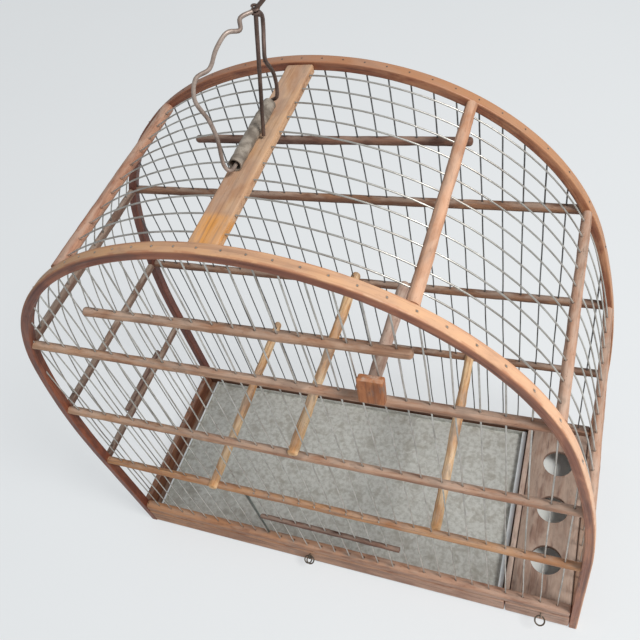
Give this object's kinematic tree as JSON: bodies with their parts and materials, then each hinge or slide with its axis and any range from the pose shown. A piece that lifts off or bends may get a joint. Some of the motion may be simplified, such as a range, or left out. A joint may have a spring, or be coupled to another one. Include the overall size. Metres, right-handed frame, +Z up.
{
  "type": "canary breeding cage",
  "caption": "Bent-wood and wire bird cage with a slide-out tray, seed drawer, lift-up gate, perches and a folding wire hanger.",
  "frame": {"origin": "middle of the space that the cage stands on: halfway between the two sides and between the front and back wires", "axes": "+X to the right seen from the front, +Y from the front to the back, +Z up"},
  "size_m": [0.464, 0.2177, 0.5768],
  "materials": {
    "arch_wood": "bent strip, oiled, worn pale on its outside",
    "rail_wood": "weathered turned rods",
    "ridge_wood": "planed plank, oiled",
    "base_wood": "planed boards, oiled",
    "board_wood": "thin board, stained by seed",
    "perch_wood": "bare rods, worn by claws",
    "dark_wood": "dark weathered rod",
    "wire_steel": "drawn wire, dull",
    "zinc_sheet": "dull sheet with stains",
    "pale_sheet": "pale coated sheet, scuffed",
    "hanger_steel": "rusty thick wire",
    "ring_steel": "tarnished wire"
  },
  "bodies": {
    "cage": {"front_arch": "arch_wood", "back_arch": "arch_wood", "front_rail_low": "rail_wood", "front_rail_mid": "rail_wood", "front_rail_high": "rail_wood", "back_rail_low": "rail_wood", "back_rail_mid": "rail_wood", "back_rail_high": "rail_wood", "left_rail_low": "rail_wood", "left_rail_mid": "rail_wood", "left_rail_high": "rail_wood", "right_rail_low": "rail_wood", "right_rail_mid": "rail_wood", "right_rail_high": "rail_wood", "left_shoulder_rail": "rail_wood", "right_shoulder_rail": "rail_wood", "ridge_plank": "ridge_wood", "front_spreader": "rail_wood", "back_spreader": "dark_wood", "side_spreader": "dark_wood", "base_front_rail": "base_wood", "base_back_board": "base_wood", "base_left_board": "base_wood", "base_right_board": "base_wood", "runners": "base_wood", "divider_board": "base_wood", "feeder_board": "board_wood", "gate_post": "zinc_sheet", "front_wires_left": "wire_steel", "front_wires_middle": "wire_steel", "front_wires_right": "wire_steel", "back_wires": "wire_steel", "left_side_wires": "wire_steel", "right_side_wires": "wire_steel", "left_shoulder_wires": "wire_steel", "right_shoulder_wires": "wire_steel", "left_roof_wires": "wire_steel", "right_roof_wires": "wire_steel", "perch_left": "perch_wood", "perch_middle": "perch_wood", "perch_right": "perch_wood", "hanger_barrel": "zinc_sheet"},
    "tray": {"tray_pan": "zinc_sheet", "tray_front": "base_wood", "tray_staple": "ring_steel"},
    "tray_rings": {"tray_ring_left": "ring_steel", "tray_ring_right": "ring_steel"},
    "drawer": {"drawer_pan": "pale_sheet", "drawer_front": "base_wood", "drawer_staple": "ring_steel"},
    "drawer_pull": {"drawer_ring": "ring_steel"},
    "gate": {"gate_bar": "dark_wood", "gate_wires": "wire_steel"},
    "plug_perch": {"plug_perch_rod": "perch_wood", "plug_perch_block": "perch_wood"},
    "hanger": {"hanger_bail_front": "hanger_steel", "hanger_bail_back": "hanger_steel", "hanger_stem": "hanger_steel"}
  },
  "joints": [
    {"name": "tray_slide", "type": "slide", "parent": "cage", "child": "tray", "axis": [0, -1, 0], "range_m": [0, 0.16]},
    {"name": "tray_ring_swing", "type": "hinge", "parent": "tray", "child": "tray_rings", "pos_m": [-0.027, -0.09995, 0.019], "axis": [1, 0, 0], "range_deg": [-60, 66]},
    {"name": "drawer_slide", "type": "slide", "parent": "cage", "child": "drawer", "axis": [0, -1, 0], "range_m": [0, 0.15]},
    {"name": "drawer_ring_swing", "type": "hinge", "parent": "drawer", "child": "drawer_pull", "pos_m": [0.1995, -0.09995, 0.019], "axis": [1, 0, 0], "range_deg": [-60, 66]},
    {"name": "gate_lift", "type": "slide", "parent": "cage", "child": "gate", "axis": [0, 0, 1], "range_m": [0, 0.04]},
    {"name": "plug_perch_pull", "type": "slide", "parent": "cage", "child": "plug_perch", "axis": [0.033, -0.9907, 0.1321], "range_m": [0, 0.09]},
    {"name": "hanger_swing", "type": "hinge", "parent": "cage", "child": "hanger", "pos_m": [0.0005, 0.00475, 0.4715], "axis": [0, 1, 0], "range_deg": [-80, 10]}
  ]
}
